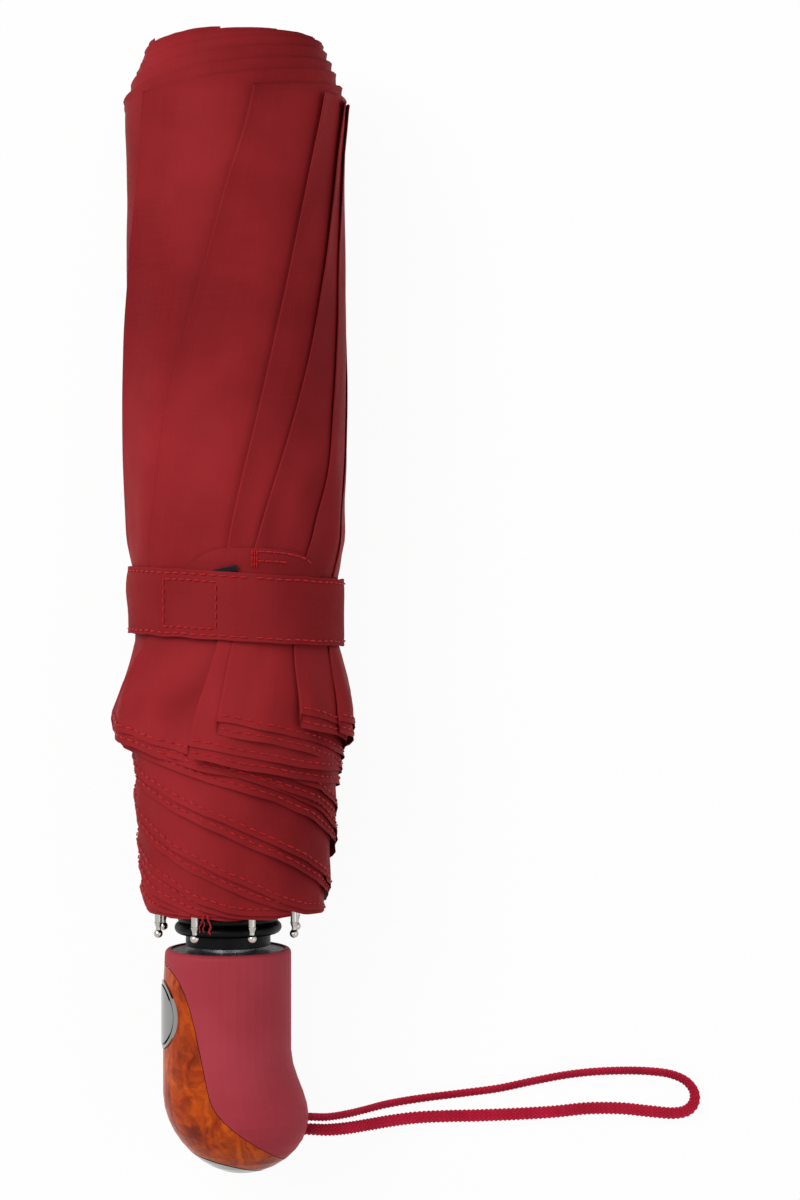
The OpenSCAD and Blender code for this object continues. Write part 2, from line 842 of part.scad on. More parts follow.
cord_drop = heel_exit()[2] - cord_w / 2;
cord_points = [
    [-5, cord_step, 1], [0, cord_step, 0], [5, 1, -3], [10, 0.6, -8], [15, 0.8, -12.8], [20, 1.3, -16.8],
    [26, 1.9, -19.4], [33, 2.7, -cord_drop], [42, 3.8, -cord_drop], [51, 5, -cord_drop],
    [60, 6.9, -cord_drop], [69, 8.6, -cord_drop], [77, 9.5, -cord_drop], [85, 9.8, -cord_drop],
    [92, 9.6, -cord_drop], [97.6, 8.8, -cord_drop], [101.6, 7, -cord_drop], [103.8, 4.2, -cord_drop],
    [103.8, 1.2, -cord_drop], [101.8, -1, -cord_drop], [98, -1.7, -cord_drop], [92, -1.2, -cord_drop],
    [84, -0.4, -cord_drop], [75, -0.4, -cord_drop], [66, -1.3, -cord_drop], [56, -1.9, -cord_drop],
    [46, -2.3, -cord_drop], [37, -2.5, -cord_drop], [29, -2.8, -19.6], [22, -3.1, -16.4],
    [15.5, -3.4, -11.6], [10, -3.5, -7], [5, -3, -2.8], [0, -cord_step, 0], [-5, -cord_step, 1]];

// A point on the smooth curve through the route's points, at t points from the start.
function on_route(p, t) = let(
    n = len(p) - 1,
    i = min(n - 1, floor(t)),
    u = t - i,
    a = p[max(0, i - 1)],
    b = p[i],
    c = p[i + 1],
    d = p[min(n, i + 2)])
    0.5 * (2 * b + (c - a) * u + (2 * a - 5 * b + 4 * c - d) * u * u + (3 * b - a - 3 * c + d) * u * u * u);

// Round tube of radius r swept along the route with flat ends.
module swept(p, r, rings, sides) {
    n = len(p) - 1;
    loft([for (k = [0 : rings]) let(
        t = n * k / rings,
        here = on_route(p, t),
        ahead = on_route(p, min(n, t + 0.02)) - on_route(p, max(0, t - 0.02)),
        along = ahead / norm(ahead),
        side = cross([0, 0, 1], along) / norm(cross([0, 0, 1], along)),
        up = cross(along, side))
        [for (i = [0 : sides - 1]) let(a = -360 * i / sides) here + r * (cos(a) * side + sin(a) * up)]]);
}

module wrist_cord() {
    color(cord_red)
        translate(heel_exit())
            swept(cord_points, cord_w / 2, 79, 8);
}

// Knot that keeps the cord's two ends inside the heel.
module cord_knot() {
    color(cord_red)
        translate([front_x(cord_z) - 8.6, 0, cord_z])
            sphere(r = 3.4);
}

rib_numbers = [1 : rib_n];

// Lays the upright roll down, with the middle of the umbrella's length at the origin.
module lay() {
    translate([0, -roll_top_z / 2, axis_h])
        rotate([-90, 0, 0])
            children();
}

// The shaft and the rib frame lie beside the roll's middle.
module lay_frame() {
    lay()
        translate([-roll_side, 0, 0])
            children();
}

// The handle and the tubes are turned about the shaft.
module lay_handle() {
    lay_frame()
        rotate([0, 0, handle_turn])
            children();
}

lay_handle() grip_shell();
lay_handle() grip_inlay();
lay_handle() button_bezel();
lay_handle() end_medallion();
lay_handle() collar();
lay_handle() core_block();
lay_handle() lever_pin();
lay_handle() lower_tube();
lay_handle() lower_mouth_bush();
lay_handle() tube_plug();
lay_handle() tube_pin();
lay_handle() cord_knot();
wrist_cord();
lay_handle() push_button();
lay_handle() button_springs();
lay_handle() latch_lever();
lay_handle() middle_tube();
lay_handle() middle_foot_bush();
lay_handle() middle_mouth_bush();
lay_handle() upper_tube();
lay_handle() upper_foot_bush();
lay_handle() drive_spring();
lay_frame() crown();
lay_frame() crown_wire();
lay_frame() crown_cap();
lay_frame() runner();
lay_frame() runner_wire();
lay_frame() stretchers();
lay_frame() middle_ribs();
lay_frame() lower_knuckles();
lay_frame() upper_knuckles();
lay_frame() rib_tips();
for (i = rib_numbers) {
    lay_frame() inner_rib(i - 1);
    lay_frame() outer_rib(i - 1);
}
lay() canopy_roll();
lay() canopy_shoulder();
lay() canopy_skirt();
lay() strap_base();
lay() strap_front();
lay() strap_tab();
lay() hook_patch();
lay() loop_patch();
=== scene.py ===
# %% [markdown]
# # A folding pocket umbrella, closed, rolled and strapped
# This lesson dresses a finished CAD model. The CAD file already holds the handle, the shaft, the
# rib frame and their joints at their true places, and nothing here moves them. What is added is
# everything that makes the thing look real: wound cloth, hems, stitches, a braided cord and the
# finish of every surface. We start by loading the model.

# %% Load the CAD model
import math
import random

import bpy
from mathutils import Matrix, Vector, noise


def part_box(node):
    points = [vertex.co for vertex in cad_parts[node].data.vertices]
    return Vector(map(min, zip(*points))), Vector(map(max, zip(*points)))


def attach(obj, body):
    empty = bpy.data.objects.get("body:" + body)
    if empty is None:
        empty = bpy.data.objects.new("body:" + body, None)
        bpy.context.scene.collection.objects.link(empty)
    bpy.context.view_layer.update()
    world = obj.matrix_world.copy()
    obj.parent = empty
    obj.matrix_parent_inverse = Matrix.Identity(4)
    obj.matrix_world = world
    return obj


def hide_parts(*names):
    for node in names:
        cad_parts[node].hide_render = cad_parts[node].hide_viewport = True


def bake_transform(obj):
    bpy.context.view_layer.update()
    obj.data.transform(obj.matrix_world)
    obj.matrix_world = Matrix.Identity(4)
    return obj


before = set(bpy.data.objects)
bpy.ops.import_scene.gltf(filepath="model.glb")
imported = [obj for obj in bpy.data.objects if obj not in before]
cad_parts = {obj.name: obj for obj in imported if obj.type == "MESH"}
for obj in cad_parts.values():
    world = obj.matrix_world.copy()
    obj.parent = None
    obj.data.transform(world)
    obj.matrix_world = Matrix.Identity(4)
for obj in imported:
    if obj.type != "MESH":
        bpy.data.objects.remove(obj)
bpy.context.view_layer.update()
MM = 0.001


# %% [markdown]
# The camera hangs straight above the umbrella and looks down, with the crown at the top of the
# picture. A product shot like this is taken from not quite far enough to lose all perspective, so
# a longer lens from about 64 cm is right. Every place is worked out from the CAD: the shaft tells
# where the axis lies, and the roll tells where the cloth is wound.

# %% Axis, roll and camera
def middle(node):
    low, high = (Vector(corner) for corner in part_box(node))
    return (low + high) / 2


shaft = middle("lower_tube")
roll_low, roll_high = (Vector(corner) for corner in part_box("canopy_roll"))
roll_x = (roll_low.x + roll_high.x) / 2
axis_z = shaft.z
heel_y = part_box("end_medallion")[0][1]

camera_height = 0.640
camera_side = 0.0447
camera_ahead = 0.1487
camera_data = bpy.data.cameras.new("camera")
camera_data.sensor_width = 36
camera_data.sensor_fit = "AUTO"
camera_data.lens = 73.8
camera = bpy.data.objects.new("camera", camera_data)
camera.location = (shaft.x + camera_side, heel_y + camera_ahead, axis_z + camera_height)
bpy.context.scene.collection.objects.link(camera)
bpy.context.scene.camera = camera
print("camera at", [round(c, 4) for c in camera.location])


# %% [markdown]
# Colours are easiest to think of as they look on a screen, and shaders want them linear, so one
# small function converts them. A second one sets up a material with its Principled shader, and a
# third adds a node and joins its inputs in one line. All three keep the recipes below short.

# %% Helpers for materials
def linear(*screen):
    light = (c / 12.92 if c <= 0.04045 else ((c + 0.055) / 1.055) ** 2.4 for c in screen)
    return tuple(light) + (1.0,)


def new_material(name, **settings):
    material = bpy.data.materials.new(name)
    material.use_nodes = True
    tree = material.node_tree
    shader = tree.nodes["Principled BSDF"]
    for socket, value in settings.items():
        shader.inputs[socket.replace("_", " ")].default_value = value
    return material, tree, shader


def feed(tree, socket, value):
    """Links a value that is a socket, and sets any other value."""
    if isinstance(value, bpy.types.NodeSocket):
        tree.links.new(value, socket)
    else:
        socket.default_value = value


NODE_CHOICES = ("operation", "blend_type", "data_type", "bands_direction")


def add(tree, kind, **values):
    """Adds a node. A key names a choice of the node, an input, or an input's number, as in i0."""
    node = tree.nodes.new(kind)
    for key, value in values.items():
        if key in NODE_CHOICES:
            setattr(node, key, value)
        elif key[0] == "i" and key[1:].isdigit():
            feed(tree, node.inputs[int(key[1:])], value)
        else:
            feed(tree, node.inputs[key.replace("_", " ")], value)
    return node


def math_node(tree, operation, a, b=0.0):
    return add(tree, "ShaderNodeMath", operation=operation, i0=a, i1=b).outputs[0]


def mix_colour(tree, share, first, second, blend="MIX"):
    node = add(tree, "ShaderNodeMix", data_type="RGBA", blend_type=blend)
    for index, value in ((0, share), (6, first), (7, second)):
        feed(tree, node.inputs[index], value)
    return node.outputs[2]


def ramp(tree, value, *stops, smooth=False):
    """A colour ramp through (position, grey or colour) stops."""
    node = add(tree, "ShaderNodeValToRGB", i0=value)
    elements = node.color_ramp.elements
    node.color_ramp.interpolation = "EASE" if smooth else "LINEAR"
    while len(elements) < len(stops):
        elements.new(0.5)
    for element, (place, colour) in zip(elements, stops):
        element.position = place
        element.color = colour if isinstance(colour, tuple) else (colour, colour, colour, 1)
    return node.outputs[0]


def join_shader(tree, shader, height=None, strength=0.3, reach=0.0002, **inputs):
    for key, socket in inputs.items():
        tree.links.new(socket, shader.inputs[key.replace("_", " ")])
    if height is not None:
        bump = add(tree, "ShaderNodeBump", Strength=strength, Distance=reach, Height=height)
        tree.links.new(bump.outputs[0], shader.inputs["Normal"])


# %% [markdown]
# Two effects turn up in several materials, so each is a node group. The first is a plain weave:
# threads that pass over and under each other, a quarter of a millimetre apart, with some threads a
# little thicker than others. The second is a slow drift of tone at random. In the cloth its darker
# patches are painted shade, standing in for the shade of soft folds.

# %% Node groups: weave and drift
def new_group(name, inputs, outputs):
    group = bpy.data.node_groups.new(name, "ShaderNodeTree")
    for label, kind, default in inputs:
        socket = group.interface.new_socket(label, in_out="INPUT", socket_type=kind)
        if default is not None:
            socket.default_value = default
    for label, kind in outputs:
        group.interface.new_socket(label, in_out="OUTPUT", socket_type=kind)
    return group, group.nodes.new("NodeGroupInput"), group.nodes.new("NodeGroupOutput")


def build_weave():
    group, given, result = new_group(
        "plain_weave",
        [("Place", "NodeSocketVector", None), ("Threads per metre", "NodeSocketFloat", 4000.0),
         ("Slub", "NodeSocketFloat", 0.4)],
        [("Height", "NodeSocketFloat"), ("Shade", "NodeSocketFloat")])
    place = add(group, "ShaderNodeSeparateXYZ", i0=given.outputs["Place"])
    turns = math_node(group, "MULTIPLY", given.outputs["Threads per metre"], math.pi)
    warp = math_node(group, "SINE", math_node(group, "MULTIPLY", place.outputs[0], turns))
    weft = math_node(group, "SINE", math_node(group, "MULTIPLY", place.outputs[1], turns))
    crossing = math_node(group, "MULTIPLY", warp, weft)
    threads = add(group, "ShaderNodeMapping", Vector=given.outputs["Place"],
                  Scale=(1500.0, 60.0, 1.0))
    picks = add(group, "ShaderNodeMapping", Vector=given.outputs["Place"],
                Scale=(60.0, 1500.0, 1.0))
    warp_slub, weft_slub = (
        add(group, "ShaderNodeTexNoise", Vector=run.outputs[0], Scale=1.0, Detail=2.0).outputs[0]
        for run in (threads, picks))
    uneven = math_node(group, "SUBTRACT", math_node(group, "ADD", warp_slub, weft_slub), 1.0)
    slub = math_node(group, "MULTIPLY", uneven, given.outputs["Slub"])
    height = math_node(group, "ADD", math_node(group, "MULTIPLY", crossing, 0.5), slub)
    group.links.new(math_node(group, "ADD", height, 0.5), result.inputs["Height"])
    group.links.new(math_node(group, "ADD", slub, 0.5), result.inputs["Shade"])
    return group


def build_drift():
    group, given, result = new_group(
        "tone_drift",
        [("Place", "NodeSocketVector", None), ("Size", "NodeSocketFloat", 30.0)],
        [("Tone", "NodeSocketFloat")])
    slow = add(group, "ShaderNodeTexNoise", Vector=given.outputs["Place"],
               Scale=given.outputs["Size"], Detail=3.0, Roughness=0.5)
    tone = ramp(group, slow.outputs[0], (0.3, 0.0), (0.7, 1.0), smooth=True)
    group.links.new(tone, result.inputs["Tone"])
    return group


weave = build_weave()
drift = build_drift()


def place_group(tree, group, **values):
    node = tree.nodes.new("ShaderNodeGroup")
    node.node_tree = group
    for key, value in values.items():
        feed(tree, node.inputs[key.replace("_", " ")], value)
    return node


def coordinates(tree, kind):
    return tree.nodes.new("ShaderNodeTexCoord").outputs[kind]


# %% [markdown]
# The canopy is pongee, a thin polyester cloth in plain weave. It is deep red and almost matt. Each
# mesh carries its own length and height as UVs in metres, so the weave has its true pitch and runs
# with the cloth.

# %% Cloth
cloth_red = linear(0.588, 0.155, 0.171)
# Painted shade: this darker red stands in for the shade of soft folds.
cloth_fold_shade = linear(0.476, 0.112, 0.126)
# Painted highlight: this lighter red is painted on the thicker threads.
cloth_highlight = linear(0.62, 0.17, 0.19)


def make_cloth(name, threads, base, deep, light, roughness, bump):
    material, tree, shader = new_material(name, Specular_IOR_Level=0.015)
    place = coordinates(tree, "UV")
    woven = place_group(tree, weave, Place=place, Threads_per_metre=threads, Slub=0.6)
    tone = place_group(tree, drift, Place=coordinates(tree, "Object"), Size=22.0)
    # Painted shade: darker patches at random stand in for the shade of soft folds.
    colour = mix_colour(tree, tone.outputs["Tone"], base, deep)
    # Painted highlight: the thicker threads are painted lighter.
    slub_highlight = ramp(tree, woven.outputs["Shade"], (0.35, 0.0), (0.75, 0.16))
    colour = mix_colour(tree, slub_highlight, colour, light)
    rough = ramp(tree, woven.outputs["Shade"], (0.2, roughness - 0.08), (0.8, roughness + 0.08))
    join_shader(tree, shader, woven.outputs["Height"], bump, 0.00012, Base_Color=colour,
                Roughness=rough)
    return material


canopy_cloth = make_cloth("canopy_cloth", 4200.0, cloth_red, cloth_fold_shade, cloth_highlight, 0.5, 0.25)
strap_cloth = make_cloth("strap_cloth", 3600.0, linear(0.56, 0.15, 0.165), cloth_fold_shade,
                         cloth_highlight, 0.58, 0.35)


# %% Thread
def make_thread(name, colour, groove_shade):
    """Twisted sewing thread: fine slanting plies, with painted shade in the grooves between them.
    """
    material, tree, shader = new_material(name, Roughness=0.6, Sheen_Weight=0.1,
                                          Specular_IOR_Level=0.12)
    place = coordinates(tree, "Object")
    ply = add(tree, "ShaderNodeTexWave", bands_direction="DIAGONAL", Vector=place, Scale=900.0,
              Distortion=1.5)
    # Painted shade: the grooves between the plies are painted darker.
    mixed = mix_colour(tree, ply.outputs["Fac"], groove_shade, colour)
    join_shader(tree, shader, ply.outputs["Fac"], 0.3, 0.0001, Base_Color=mixed)
    return material


stitch_thread = make_thread("stitch_thread", linear(0.8, 0.1, 0.11), linear(0.64, 0.06, 0.08))


# %% [markdown]
# The handle is moulded plastic under a soft-touch coat. Such a coat scatters light almost like
# skin: no sharp highlight, a faint bloom at grazing angles and a very fine grain. The inlay is a
# print of burl wood under clear lacquer, so its colour swirls and its gloss comes from the coat.

# %% Soft-touch coat and burl lacquer
def make_soft_touch():
    material, tree, shader = new_material(
        "soft_touch", Sheen_Weight=0.05, Sheen_Roughness=0.5, Specular_IOR_Level=0.12)
    shader.inputs["Sheen Tint"].default_value = linear(1.0, 0.6, 0.65)
    place = coordinates(tree, "Object")
    grain = add(tree, "ShaderNodeTexNoise", Vector=place, Scale=5200.0, Detail=2.0)
    tone = place_group(tree, drift, Place=place, Size=45.0)
    colour = mix_colour(tree, tone.outputs["Tone"], linear(0.655, 0.225, 0.27),
                        linear(0.62, 0.195, 0.235))
    rough = ramp(tree, grain.outputs[0], (0.3, 0.56), (0.7, 0.68))
    join_shader(tree, shader, grain.outputs[0], 0.12, 0.00005, Base_Color=colour, Roughness=rough)
    return material


def make_burl():
    material, tree, shader = new_material(
        "burl_lacquer", Roughness=0.4, Specular_IOR_Level=0.05, Coat_Weight=0.3,
        Coat_Roughness=0.03, Coat_IOR=1.4)
    place = coordinates(tree, "Object")
    warp = add(tree, "ShaderNodeTexNoise", Vector=place, Scale=70.0, Detail=4.0)
    bend = add(tree, "ShaderNodeVectorMath", operation="MULTIPLY_ADD", i0=warp.outputs["Color"],
               i1=(0.022, 0.022, 0.022), i2=place)
    figure = add(tree, "ShaderNodeTexNoise", Vector=bend.outputs[0], Scale=150.0, Detail=6.0,
                 Roughness=0.62)
    swirl = add(tree, "ShaderNodeTexWave", Vector=bend.outputs[0], Scale=95.0, Distortion=7.0,
                Detail=3.0)
    eyes = add(tree, "ShaderNodeTexVoronoi", Vector=bend.outputs[0], Scale=190.0)
    colour = ramp(tree, figure.outputs[0],
                  (0.3, linear(0.46, 0.12, 0.0)), (0.47, linear(0.66, 0.22, 0.0)),
                  (0.6, linear(0.75, 0.29, 0.0)), (0.75, linear(0.83, 0.39, 0.0)))
    veins = ramp(tree, swirl.outputs["Fac"], (0.0, 0.35), (0.4, 0.08), (1.0, 0.0))
    colour = mix_colour(tree, veins, colour, linear(0.36, 0.12, 0.02))
    spots = ramp(tree, eyes.outputs["Distance"], (0.05, 0.45), (0.25, 0.0))
    colour = mix_colour(tree, spots, colour, linear(0.25, 0.08, 0.015))
    join_shader(tree, shader, figure.outputs[0], 0.05, 0.00005, Base_Color=colour)
    return material


soft_touch = make_soft_touch()
burl_lacquer = make_burl()


# %% [markdown]
# Metals and hard plastics differ mostly in how their gloss breaks up. Plated chrome is nearly
# perfect, with only a breath of haze; drawn steel tube has fine lines along it; the black runner
# is moulded nylon with a dull shine. One function makes the metals and another the plastics.

# %% Metal and plastic
def scaled(colour, share):
    return tuple(c * share for c in colour[:3]) + (1.0,)


def make_metal(name, colour, roughness, lines):
    material, tree, shader = new_material(name, Metallic=1.0)
    stretch = add(tree, "ShaderNodeMapping", Vector=coordinates(tree, "Object"), Scale=lines)
    fine = add(tree, "ShaderNodeTexNoise", Vector=stretch.outputs[0], Scale=1.0, Detail=3.0)
    rough = ramp(tree, fine.outputs[0], (0.3, roughness * 0.7), (0.7, roughness * 1.4))
    tone = mix_colour(tree, fine.outputs[0], colour, scaled(colour, 0.88))
    join_shader(tree, shader, fine.outputs[0], 0.04, 0.00003, Base_Color=tone, Roughness=rough)
    return material


def make_plastic(name, colour, roughness):
    material, tree, shader = new_material(name, Specular_IOR_Level=0.1)
    place = coordinates(tree, "Object")
    grain = add(tree, "ShaderNodeTexNoise", Vector=place, Scale=900.0, Detail=4.0)
    tone = place_group(tree, drift, Place=place, Size=60.0)
    mixed = mix_colour(tree, tone.outputs["Tone"], colour, scaled(colour, 1.5))
    rough = ramp(tree, grain.outputs[0], (0.3, roughness * 0.8), (0.7, roughness * 1.25))
    join_shader(tree, shader, grain.outputs[0], 0.06, 0.00005, Base_Color=mixed, Roughness=rough)
    return material


chrome = make_metal("chrome", linear(0.58, 0.58, 0.57), 0.07, (300.0, 300.0, 300.0))
steel = make_metal("drawn_steel", linear(0.74, 0.74, 0.76), 0.28, (6000.0, 120.0, 6000.0))
nickel = make_metal("nickel", linear(0.72, 0.7, 0.68), 0.2, (500.0, 500.0, 500.0))
black_steel = make_plastic("black_lacquered_steel", linear(0.09, 0.09, 0.1), 0.35)
black_nylon = make_plastic("black_nylon", linear(0.02, 0.02, 0.022), 0.4)
hook_cloth = make_thread("hook_and_loop", linear(0.1, 0.09, 0.13), linear(0.02, 0.02, 0.03))


# %% [markdown]
# The wrist cord is a flat braid of crimson yarn, and its single yarns show as a pattern of small
# chevrons. Fine hairs lift off real yarn and catch the light, so it has a little sheen.

# %% Cord yarn
def make_yarn():
    material, tree, shader = new_material(
        "cord_yarn", Sheen_Weight=0.15, Sheen_Roughness=0.35, Specular_IOR_Level=0.15)
    shader.inputs["Sheen Tint"].default_value = linear(1.0, 0.6, 0.7)
    place = coordinates(tree, "UV")
    plies = add(tree, "ShaderNodeMapping", Vector=place, Scale=(9000.0, 900.0, 1.0),
                Rotation=(0.0, 0.0, 0.5))
    fibre = add(tree, "ShaderNodeTexNoise", Vector=plies.outputs[0], Scale=1.0, Detail=3.0)
    tone = place_group(tree, drift, Place=coordinates(tree, "Object"), Size=80.0)
    colour = mix_colour(tree, tone.outputs["Tone"], linear(0.82, 0.12, 0.27),
                        linear(0.73, 0.09, 0.22))
    # Painted shade: the low places between the fibres are painted darker.
    colour = mix_colour(tree, ramp(tree, fibre.outputs[0], (0.35, 0.6), (0.65, 0.0)), colour,
                        linear(0.52, 0.04, 0.12))
    rough = ramp(tree, fibre.outputs[0], (0.3, 0.75), (0.7, 0.55))
    join_shader(tree, shader, fibre.outputs[0], 0.4, 0.0001, Base_Color=colour, Roughness=rough)
    return material


cord_yarn = make_yarn()


# %% [markdown]
# Now the CAD pieces get their finishes. The same list serves every piece: which nodes, which
# material, and which slot of the part's record the finish stands for. The plain solids of the
# canopy, the strap and the cord are left out here, because sewn cloth and braid take their place.

# %% Finish the CAD pieces
ribs_inner = [f"inner_rib_{i}" for i in range(1, 9)]
ribs_outer = [f"outer_rib_{i}" for i in range(1, 9)]
FINISHES = [
    (["grip_shell"], soft_touch, "soft_touch"),
    (["grip_inlay"], burl_lacquer, "burl_inlay"),
    (["button_bezel", "end_medallion", "push_button"], chrome, "chrome"),
    (["lower_tube", "middle_tube", "upper_tube", "latch_lever", "lever_pin", "tube_pin",
      "crown_wire", "runner_wire", "button_springs", "drive_spring"], steel, "frame_steel"),
    (["rib_tips", "lower_knuckles", "upper_knuckles"] + ribs_outer, nickel, "frame_steel"),
    (ribs_inner + ["middle_ribs", "stretchers"], black_steel, "black_steel"),
    (["collar", "core_block", "tube_plug", "lower_mouth_bush", "middle_foot_bush",
      "middle_mouth_bush", "upper_foot_bush", "crown", "crown_cap", "runner"], black_nylon,
     "black_plastic"),
    (["hook_patch", "loop_patch"], hook_cloth, "hook_and_loop"),
    (["cord_knot"], cord_yarn, "cord"),
]
for nodes, material, slot in FINISHES:
    for node in nodes:
        piece = bpy.data.objects[node]
        piece.data.materials.clear()
        piece.data.materials.append(material)


# %% [markdown]
# The umbrella lies on a pure white table. The table is white to the camera and to shiny surfaces,
# but a small share of it still answers to the lamps, so the soft shadow under the roll stays. The
# sky does the same: white where it is seen or mirrored, and a calm grey where it only gives light.

# %% Table, sky and lamps
table_glow = 0.94
sky_light = 0.38


def seen_or_mirrored(tree):
    path = tree.nodes.new("ShaderNodeLightPath")
    seen = math_node(tree, "MAXIMUM", path.outputs["Is Camera Ray"], path.outputs["Is Glossy Ray"])
    return math_node(tree, "MAXIMUM", seen, path.outputs["Is Transmission Ray"])


def make_table():
    material, tree, shader = new_material("white_table", Roughness=0.9)
    shader.inputs["Base Color"].default_value = (0.86, 0.86, 0.86, 1)
    glow = add(tree, "ShaderNodeEmission", Color=(1, 1, 1, 1), Strength=1.0)
    white = math_node(tree, "MULTIPLY", seen_or_mirrored(tree), table_glow)
    blend = add(tree, "ShaderNodeMixShader", i0=white)
    tree.links.new(shader.outputs[0], blend.inputs[1])
    tree.links.new(glow.outputs[0], blend.inputs[2])
    tree.links.new(blend.outputs[0], tree.nodes["Material Output"].inputs["Surface"])
    return material


bpy.ops.mesh.primitive_plane_add(size=6, location=(0, 0, 0))
table = bpy.context.object
table.name = "table"
table.data.materials.append(make_table())

world = bpy.data.worlds.new("studio")
world.use_nodes = True
sky = world.node_tree
background = sky.nodes["Background"]
level = add(sky, "ShaderNodeMix", i0=seen_or_mirrored(sky), i2=sky_light, i3=1.0)
sky.links.new(level.outputs[0], background.inputs["Strength"])
background.inputs["Color"].default_value = (1, 1, 1, 1)
bpy.context.scene.world = world


def lamp(name, place, aim, size, power):
    data = bpy.data.lights.new(name, "AREA")
    data.shape = "RECTANGLE"
    data.size, data.size_y = size
    data.energy = power
    made = bpy.data.objects.new(name, data)
    made.location = place
    made.rotation_euler = (Vector(aim) - Vector(place)).to_track_quat("-Z", "Y").to_euler()
    bpy.context.scene.collection.objects.link(made)
    return made


key = lamp("key", (-0.62, 0.5, 1.0), (0, 0, 0.03), (0.9, 0.9), 12.6)
fill = lamp("fill", (0.9, -0.2, 0.9), (0, 0, 0.03), (0.9, 0.9), 2.4)
bpy.context.scene.view_settings.view_transform = "Standard"


# %% [markdown]
# A few more helpers make meshes. The first turns points and faces into an object with smooth
# shading and UVs in metres, and the second closes rows of points into a tube. The others give
# smooth curves through chosen values, which is how the folds of the cloth are described below.

# %% Helpers for meshes
def new_piece(name, points, faces, material, uvs=None):
    mesh = bpy.data.meshes.new(name)
    mesh.from_pydata([tuple(p) for p in points], [], faces)
    mesh.materials.append(material)
    if uvs:
        layer = mesh.uv_layers.new(name="UVMap")
        for loop in mesh.loops:
            layer.data[loop.index].uv = uvs[loop.vertex_index]
    mesh.polygons.foreach_set("use_smooth", [True] * len(mesh.polygons))
    piece = bpy.data.objects.new(name, mesh)
    bpy.context.scene.collection.objects.link(piece)
    return piece


def tube_faces(first, rings, count):
    """Faces of a tube whose rings have count points each: its sides, and then its two ends."""
    faces = []
    for ring in range(rings - 1):
        for k in range(count):
            a, b = first + count * ring + k, first + count * ring + (k + 1) % count
            faces.append((a, b, b + count, a + count))
    last = first + count * (rings - 1)
    faces.append(tuple(range(first + count - 1, first - 1, -1)))
    faces.append(tuple(range(last, last + count)))
    return faces


def through(stops, x):
    """Value at x of a smooth curve through (x, value) stops in rising order of x."""
    if x <= stops[0][0]:
        return stops[0][1]
    if x >= stops[-1][0]:
        return stops[-1][1]
    i = max(k for k in range(len(stops) - 1) if stops[k][0] <= x)
    (x0, y0), (x1, y1) = stops[i], stops[i + 1]
    rise = (y1 - y0) / (x1 - x0)
    before = (y0 - stops[i - 1][1]) / (x0 - stops[i - 1][0]) if i else rise
    after = (stops[i + 2][1] - y1) / (stops[i + 2][0] - x1) if i + 2 < len(stops) else rise
    m0 = (before + rise) / 2 if before * rise > 0 else 0.0
    m1 = (after + rise) / 2 if after * rise > 0 else 0.0
    h = x1 - x0
    t = (x - x0) / h
    return (y0 * (1 + 2 * t) * (1 - t) ** 2 + m0 * h * t * (1 - t) ** 2
            + y1 * t * t * (3 - 2 * t) + m1 * h * t * t * (t - 1))


def smooth_step(a, b, x):
    t = min(1.0, max(0.0, (x - a) / (b - a)))
    return t * t * (3 - 2 * t)


# %% [markdown]
# The wrist cord leaves the heel through a slot, drops to the table, runs out and comes back as a
# loop. Each stop of its route says how far out, along and up it is from the slot, and how far the
# flat braid leans: 0 degrees lies flat, 90 stands on its edge. Six strands of yarn cross from
# edge to edge, and each one goes over and under those it meets, so the braid is a real braid.

# %% Wrist cord
slot_height = 22.28
slot_at = Vector((18.13, -137.0, slot_height)) * MM
lying = 1.8 - slot_height
cord_stops = [
    (-5, 1.6, 1, 48), (0, 1.6, 0, 48), (5, 0.9, -3, 48), (10, 0.6, -8, 47), (15, 0.8, -12.8, 49),
    (20, 1.3, -16.8, 49), (26, 1.9, -19.4, 49), (33, 2.7, lying, 50), (42, 3.8, lying, 50),
    (51, 5, lying, 50), (60, 6.9, lying, 50), (69, 8.6, lying, 50), (77, 9.5, lying, 50),
    (85, 9.8, lying, 49), (92, 9.6, lying, 48), (97.6, 8.8, lying, 47), (101.6, 7, lying, 47),
    (103.8, 4.2, lying, 48), (103.8, 1.2, lying, 45), (101.8, -1, lying, 44), (98, -1.7, lying, 43),
    (92, -1.2, lying, 40), (84, -0.4, lying, 39), (75, -0.4, lying, 38), (66, -1.3, lying, 38),
    (56, -1.9, lying, 38), (46, -2.3, lying, 38), (37, -2.5, lying, 39), (29, -2.7, -19.6, 40),
    (22, -2.9, -16.4, 42), (15.5, -3, -11.6, 44), (10, -2.9, -7, 45), (5, -2.4, -2.8, 47),
    (0, -1.6, 0, 48), (-5, -1.6, 1, 48)]


def route(stops, step):
    """Points and leans at equal steps along a Catmull-Rom curve through the stops."""
    fine = []
    for i in range(len(stops) - 1):
        a, b, c, d = (stops[max(0, min(len(stops) - 1, i + k))] for k in (-1, 0, 1, 2))
        for n in range(24):
            u = n / 24
            fine.append([0.5 * (2 * q + (r - p) * u + (2 * p - 5 * q + 4 * r - s) * u * u
                                + (3 * q - p - 3 * r + s) * u ** 3)
                         for p, q, r, s in zip(a, b, c, d)])
    fine.append(list(stops[-1]))
    rows, walked, due = [], 0.0, 0.0
    for here, ahead in zip(fine, fine[1:]):
        span = (Vector(ahead[:3]) - Vector(here[:3])).length
        while due <= walked + span:
            t = (due - walked) / span
            rows.append([p + (q - p) * t for p, q in zip(here, ahead)])
            due += step
        walked += span
    return rows, walked


braid_half = 1.4
yarn_wide, yarn_thick = 0.52, 0.36
yarn_sides = 6
strands = 6
braid_pitch = 7.2
pitch_steps = 36
braid_step = braid_pitch / pitch_steps
rows, cord_length = route(cord_stops, braid_step)

